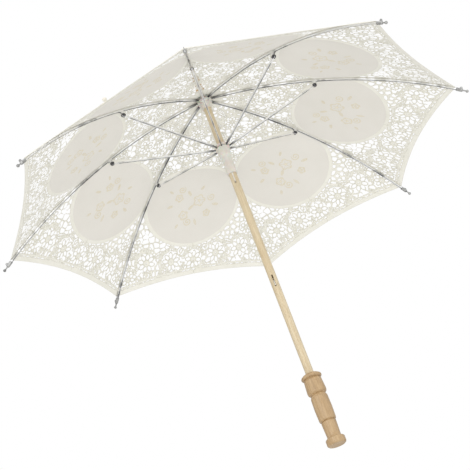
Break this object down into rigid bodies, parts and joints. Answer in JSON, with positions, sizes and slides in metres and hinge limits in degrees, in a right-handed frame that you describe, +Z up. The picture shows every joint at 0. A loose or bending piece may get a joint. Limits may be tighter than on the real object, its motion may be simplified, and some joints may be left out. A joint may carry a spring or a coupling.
{
  "type": "lace parasol",
  "caption": "Open lace parasol: scalloped tape-lace canopy on steel ribs and stretchers, sliding runner, wooden stick with turned handle.",
  "frame": {"origin": "on the stick's axis, in the flat foot of the handle", "axes": "+Z up the stick towards the ferrule; +X along rib_1; -Y is the side of the stick with the two catch slots"},
  "size_m": [0.624, 0.624, 0.529],
  "materials": {
    "stick_wood": "satin lacquered dowel",
    "turned_wood": "turned and clear lacquered",
    "white_plastic": "moulded, slightly translucent",
    "lace": "cotton tape lace and plain cotton",
    "closure": "cloth-covered button and elastic cord",
    "nickel_cap": "nickel plated",
    "nickel_steel": "nickel plated steel"
  },
  "bodies": {
    "stick": {"stick": "stick_wood", "handle": "turned_wood", "ferrule": "turned_wood", "top_notch": "white_plastic", "notch_wire": "nickel_steel", "notch_pin": "nickel_steel", "stop_pin": "nickel_steel", "top_catch_pin": "nickel_steel", "bottom_catch_pin": "nickel_steel", "crown_cap": "lace"},
    "rib_1": {"rib_1": "nickel_steel", "rib_tip_1": "nickel_cap", "rivet_1": "nickel_steel", "canopy_panel_1": "lace"},
    "rib_2": {"rib_2": "nickel_steel", "rib_tip_2": "nickel_cap", "rivet_2": "nickel_steel", "canopy_panel_2": "lace"},
    "rib_3": {"rib_3": "nickel_steel", "rib_tip_3": "nickel_cap", "rivet_3": "nickel_steel", "canopy_panel_3": "lace"},
    "rib_4": {"rib_4": "nickel_steel", "rib_tip_4": "nickel_cap", "rivet_4": "nickel_steel", "canopy_panel_4": "lace"},
    "rib_5": {"rib_5": "nickel_steel", "rib_tip_5": "nickel_cap", "rivet_5": "nickel_steel", "canopy_panel_5": "lace"},
    "rib_6": {"rib_6": "nickel_steel", "rib_tip_6": "nickel_cap", "rivet_6": "nickel_steel", "canopy_panel_6": "lace", "closure_button": "closure", "closure_loop": "closure"},
    "rib_7": {"rib_7": "nickel_steel", "rib_tip_7": "nickel_cap", "rivet_7": "nickel_steel", "canopy_panel_7": "lace"},
    "rib_8": {"rib_8": "nickel_steel", "rib_tip_8": "nickel_cap", "rivet_8": "nickel_steel", "canopy_panel_8": "lace"},
    "stretcher_1": {"stretcher_1": "nickel_steel"},
    "stretcher_2": {"stretcher_2": "nickel_steel"},
    "stretcher_3": {"stretcher_3": "nickel_steel"},
    "stretcher_4": {"stretcher_4": "nickel_steel"},
    "stretcher_5": {"stretcher_5": "nickel_steel"},
    "stretcher_6": {"stretcher_6": "nickel_steel"},
    "stretcher_7": {"stretcher_7": "nickel_steel"},
    "stretcher_8": {"stretcher_8": "nickel_steel"},
    "runner": {"runner": "white_plastic", "runner_wire": "nickel_steel"},
    "top_catch": {"top_catch": "nickel_steel"},
    "bottom_catch": {"bottom_catch": "nickel_steel"}
  },
  "joints": [
    {"name": "rib_1_hinge", "type": "hinge", "parent": "stick", "child": "rib_1", "pos_m": [0.0075, 0, 0.49], "axis": [0, 1, 0], "range_deg": [0, 64.3], "deforming": ["canopy_panel_1", "canopy_panel_2", "canopy_panel_3", "canopy_panel_4", "canopy_panel_5", "canopy_panel_6", "canopy_panel_7", "canopy_panel_8", "closure_button", "closure_loop", "top_catch", "bottom_catch"]},
    {"name": "rib_2_hinge", "type": "hinge", "parent": "stick", "child": "rib_2", "pos_m": [0.0053, 0.0053, 0.49], "axis": [-0.7071, 0.7071, 0], "range_deg": [0, 64.3]},
    {"name": "rib_3_hinge", "type": "hinge", "parent": "stick", "child": "rib_3", "pos_m": [0, 0.0075, 0.49], "axis": [-1, 0, 0], "range_deg": [0, 64.3]},
    {"name": "rib_4_hinge", "type": "hinge", "parent": "stick", "child": "rib_4", "pos_m": [-0.0053, 0.0053, 0.49], "axis": [-0.7071, -0.7071, 0], "range_deg": [0, 64.3]},
    {"name": "rib_5_hinge", "type": "hinge", "parent": "stick", "child": "rib_5", "pos_m": [-0.0075, 0, 0.49], "axis": [0, -1, 0], "range_deg": [0, 64.3]},
    {"name": "rib_6_hinge", "type": "hinge", "parent": "stick", "child": "rib_6", "pos_m": [-0.0053, -0.0053, 0.49], "axis": [0.7071, -0.7071, 0], "range_deg": [0, 64.3]},
    {"name": "rib_7_hinge", "type": "hinge", "parent": "stick", "child": "rib_7", "pos_m": [0, -0.0075, 0.49], "axis": [1, 0, 0], "range_deg": [0, 64.3]},
    {"name": "rib_8_hinge", "type": "hinge", "parent": "stick", "child": "rib_8", "pos_m": [0.0053, -0.0053, 0.49], "axis": [0.7071, 0.7071, 0], "range_deg": [0, 64.3]},
    {"name": "stretcher_1_hinge", "type": "hinge", "parent": "rib_1", "child": "stretcher_1", "pos_m": [0.1386, 0, 0.45232], "axis": [0, 1, 0], "range_deg": [-128.6, 0]},
    {"name": "stretcher_2_hinge", "type": "hinge", "parent": "rib_2", "child": "stretcher_2", "pos_m": [0.098, 0.098, 0.45232], "axis": [-0.7071, 0.7071, 0], "range_deg": [-128.6, 0]},
    {"name": "stretcher_3_hinge", "type": "hinge", "parent": "rib_3", "child": "stretcher_3", "pos_m": [0, 0.1386, 0.45232], "axis": [-1, 0, 0], "range_deg": [-128.6, 0]},
    {"name": "stretcher_4_hinge", "type": "hinge", "parent": "rib_4", "child": "stretcher_4", "pos_m": [-0.098, 0.098, 0.45232], "axis": [-0.7071, -0.7071, 0], "range_deg": [-128.6, 0]},
    {"name": "stretcher_5_hinge", "type": "hinge", "parent": "rib_5", "child": "stretcher_5", "pos_m": [-0.1386, 0, 0.45232], "axis": [0, -1, 0], "range_deg": [-128.6, 0]},
    {"name": "stretcher_6_hinge", "type": "hinge", "parent": "rib_6", "child": "stretcher_6", "pos_m": [-0.098, -0.098, 0.45232], "axis": [0.7071, -0.7071, 0], "range_deg": [-128.6, 0]},
    {"name": "stretcher_7_hinge", "type": "hinge", "parent": "rib_7", "child": "stretcher_7", "pos_m": [0, -0.1386, 0.45232], "axis": [1, 0, 0], "range_deg": [-128.6, 0]},
    {"name": "stretcher_8_hinge", "type": "hinge", "parent": "rib_8", "child": "stretcher_8", "pos_m": [0.098, -0.098, 0.45232], "axis": [0.7071, 0.7071, 0], "range_deg": [-128.6, 0]},
    {"name": "runner_hinge", "type": "hinge", "parent": "stretcher_1", "child": "runner", "pos_m": [0.0075, 0, 0.41464], "axis": [0, 1, 0], "range_deg": [0, 64.3]},
    {"name": "top_catch_press", "type": "hinge", "parent": "stick", "child": "top_catch", "pos_m": [0, -0.001, 0.36334], "axis": [-1, 0, 0], "range_deg": [0, 8], "stiffness_Nm_per_rad": 0.05, "springref_deg": -5.73},
    {"name": "bottom_catch_press", "type": "hinge", "parent": "stick", "child": "bottom_catch", "pos_m": [0, -0.001, 0.22076], "axis": [1, 0, 0], "range_deg": [0, 8], "stiffness_Nm_per_rad": 0.05, "springref_deg": -5.73}
  ],
  "couplings": [
    {"joint": "rib_2_hinge", "follows": "rib_1_hinge", "ratio": 1},
    {"joint": "rib_3_hinge", "follows": "rib_1_hinge", "ratio": 1},
    {"joint": "rib_4_hinge", "follows": "rib_1_hinge", "ratio": 1},
    {"joint": "rib_5_hinge", "follows": "rib_1_hinge", "ratio": 1},
    {"joint": "rib_6_hinge", "follows": "rib_1_hinge", "ratio": 1},
    {"joint": "rib_7_hinge", "follows": "rib_1_hinge", "ratio": 1},
    {"joint": "rib_8_hinge", "follows": "rib_1_hinge", "ratio": 1},
    {"joint": "stretcher_1_hinge", "follows": "rib_1_hinge", "ratio": -2},
    {"joint": "stretcher_2_hinge", "follows": "rib_1_hinge", "ratio": -2},
    {"joint": "stretcher_3_hinge", "follows": "rib_1_hinge", "ratio": -2},
    {"joint": "stretcher_4_hinge", "follows": "rib_1_hinge", "ratio": -2},
    {"joint": "stretcher_5_hinge", "follows": "rib_1_hinge", "ratio": -2},
    {"joint": "stretcher_6_hinge", "follows": "rib_1_hinge", "ratio": -2},
    {"joint": "stretcher_7_hinge", "follows": "rib_1_hinge", "ratio": -2},
    {"joint": "stretcher_8_hinge", "follows": "rib_1_hinge", "ratio": -2},
    {"joint": "runner_hinge", "follows": "rib_1_hinge", "ratio": 1}
  ]
}
